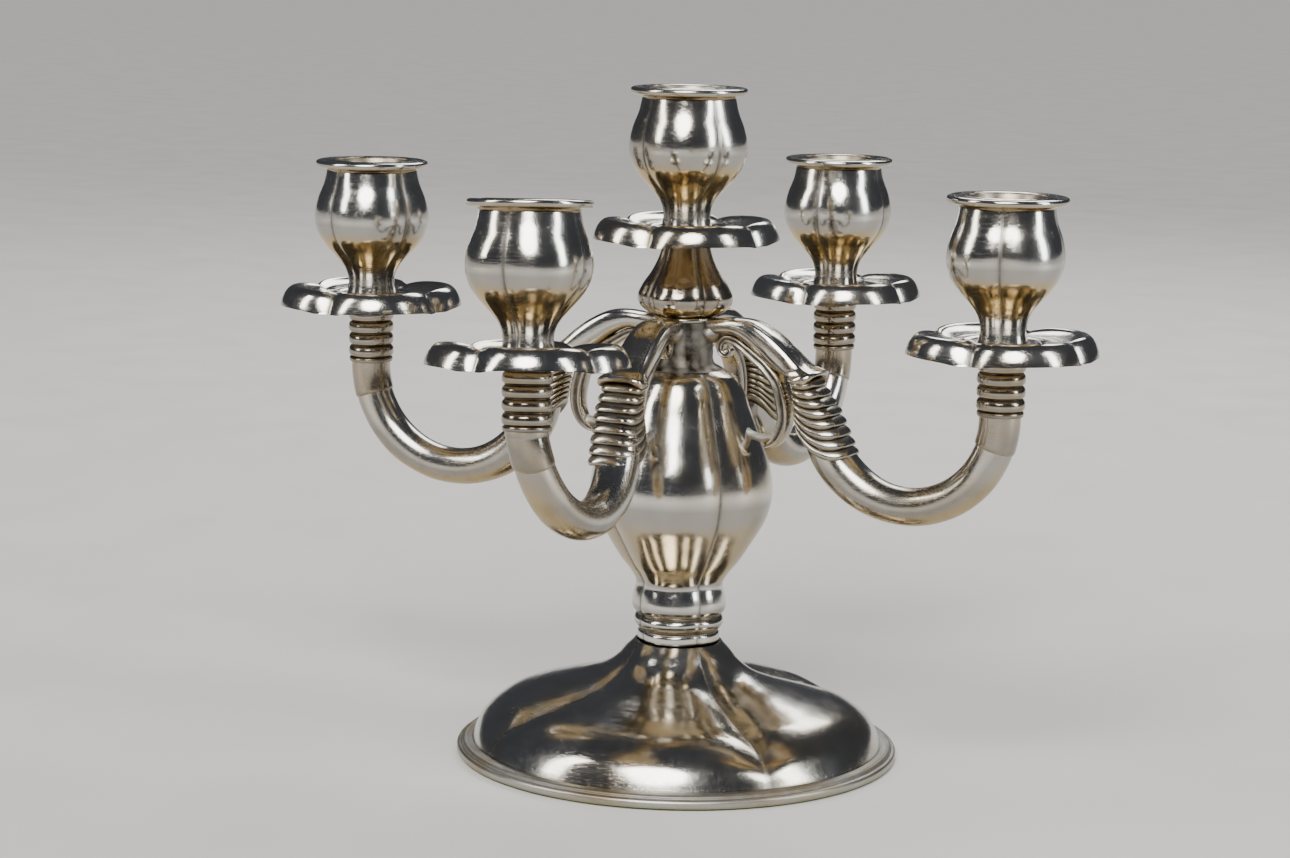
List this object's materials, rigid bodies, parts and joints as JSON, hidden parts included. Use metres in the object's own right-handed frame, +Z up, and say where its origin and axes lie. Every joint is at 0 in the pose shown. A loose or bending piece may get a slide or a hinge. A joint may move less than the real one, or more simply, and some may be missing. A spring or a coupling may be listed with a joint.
{
  "type": "candelabrum",
  "caption": "Table candelabrum of polished silver: domed lobed foot, baluster stem, curved arms with drip pans and screw-off candle nozzles around a raised centre light.",
  "frame": {"origin": "centre of the underside of the foot, on the column axis", "axes": "+Z up; -Y towards the front arm; +X towards the right arm"},
  "size_m": [0.2715, 0.2655, 0.211],
  "materials": {
    "silver": "polished silver with light tarnish",
    "silver_inside": "dull silver inside the candle sockets",
    "silver_flange": "worn satin silver edge",
    "steel": "plain steel",
    "filling": "cast filling",
    "felt": "green felt"
  },
  "bodies": {
    "frame": {"felt_pad": "felt", "base_plate": "steel", "base_weight": "filling", "base_flange": "silver_flange", "base_dome": "silver", "base_washer": "steel", "base_nut": "steel", "tie_rod": "steel", "column_collar": "silver", "column_body": "silver", "column_neck": "silver", "neck_ring": "silver", "knop": "silver", "arm_front_tube": "silver", "arm_front_sleeve": "silver", "arm_front_cap": "silver", "arm_front_scroll": "silver", "arm_front_ferrule": "silver", "arm_right_tube": "silver", "arm_right_sleeve": "silver", "arm_right_cap": "silver", "arm_right_scroll": "silver", "arm_right_ferrule": "silver", "arm_back_tube": "silver", "arm_back_sleeve": "silver", "arm_back_cap": "silver", "arm_back_scroll": "silver", "arm_back_ferrule": "silver", "arm_left_tube": "silver", "arm_left_sleeve": "silver", "arm_left_cap": "silver", "arm_left_scroll": "silver", "arm_left_ferrule": "silver", "pan_centre": "silver", "pan_front": "silver", "pan_right": "silver", "pan_back": "silver", "pan_left": "silver"},
    "screw_centre": {"stud_centre": "steel"},
    "nozzle_centre": {"cup_centre": "silver", "rim_centre": "silver", "liner_centre": "silver_inside"},
    "screw_front": {"stud_front": "steel"},
    "nozzle_front": {"cup_front": "silver", "rim_front": "silver", "liner_front": "silver_inside"},
    "screw_right": {"stud_right": "steel"},
    "nozzle_right": {"cup_right": "silver", "rim_right": "silver", "liner_right": "silver_inside"},
    "screw_back": {"stud_back": "steel"},
    "nozzle_back": {"cup_back": "silver", "rim_back": "silver", "liner_back": "silver_inside"},
    "screw_left": {"stud_left": "steel"},
    "nozzle_left": {"cup_left": "silver", "rim_left": "silver", "liner_left": "silver_inside"}
  },
  "joints": [
    {"name": "lift_centre", "type": "slide", "parent": "frame", "child": "screw_centre", "axis": [0, 0, 1], "range_m": [0, 0.005]},
    {"name": "unscrew_centre", "type": "hinge", "parent": "screw_centre", "child": "nozzle_centre", "pos_m": [0, 0, 0.1675], "axis": [0, 0, 1], "range_deg": [0, 1800]},
    {"name": "lift_front", "type": "slide", "parent": "frame", "child": "screw_front", "axis": [-0.0375, 0.0787, 0.9962], "range_m": [0, 0.005]},
    {"name": "unscrew_front", "type": "hinge", "parent": "screw_front", "child": "nozzle_front", "pos_m": [-0.00082, -0.10327, 0.13992], "axis": [-0.0375, 0.0787, 0.9962], "range_deg": [0, 1800]},
    {"name": "lift_right", "type": "slide", "parent": "frame", "child": "screw_right", "axis": [0, 0, 1], "range_m": [0, 0.005]},
    {"name": "unscrew_right", "type": "hinge", "parent": "screw_right", "child": "nozzle_right", "pos_m": [0.10635, -0.00557, 0.14], "axis": [0, 0, 1], "range_deg": [0, 1800]},
    {"name": "lift_back", "type": "slide", "parent": "frame", "child": "screw_back", "axis": [0, 0, 1], "range_m": [0, 0.005]},
    {"name": "unscrew_back", "type": "hinge", "parent": "screw_back", "child": "nozzle_back", "pos_m": [0.00743, 0.10624, 0.14], "axis": [0, 0, 1], "range_deg": [0, 1800]},
    {"name": "lift_left", "type": "slide", "parent": "frame", "child": "screw_left", "axis": [0, 0, 1], "range_m": [0, 0.005]},
    {"name": "unscrew_left", "type": "hinge", "parent": "screw_left", "child": "nozzle_left", "pos_m": [-0.10985, -0.00576, 0.14], "axis": [0, 0, 1], "range_deg": [0, 1800]}
  ],
  "couplings": [
    {"joint": "lift_centre", "follows": "unscrew_centre", "m_per_rad": 0.00015915},
    {"joint": "lift_front", "follows": "unscrew_front", "m_per_rad": 0.00015915},
    {"joint": "lift_right", "follows": "unscrew_right", "m_per_rad": 0.00015915},
    {"joint": "lift_back", "follows": "unscrew_back", "m_per_rad": 0.00015915},
    {"joint": "lift_left", "follows": "unscrew_left", "m_per_rad": 0.00015915}
  ]
}
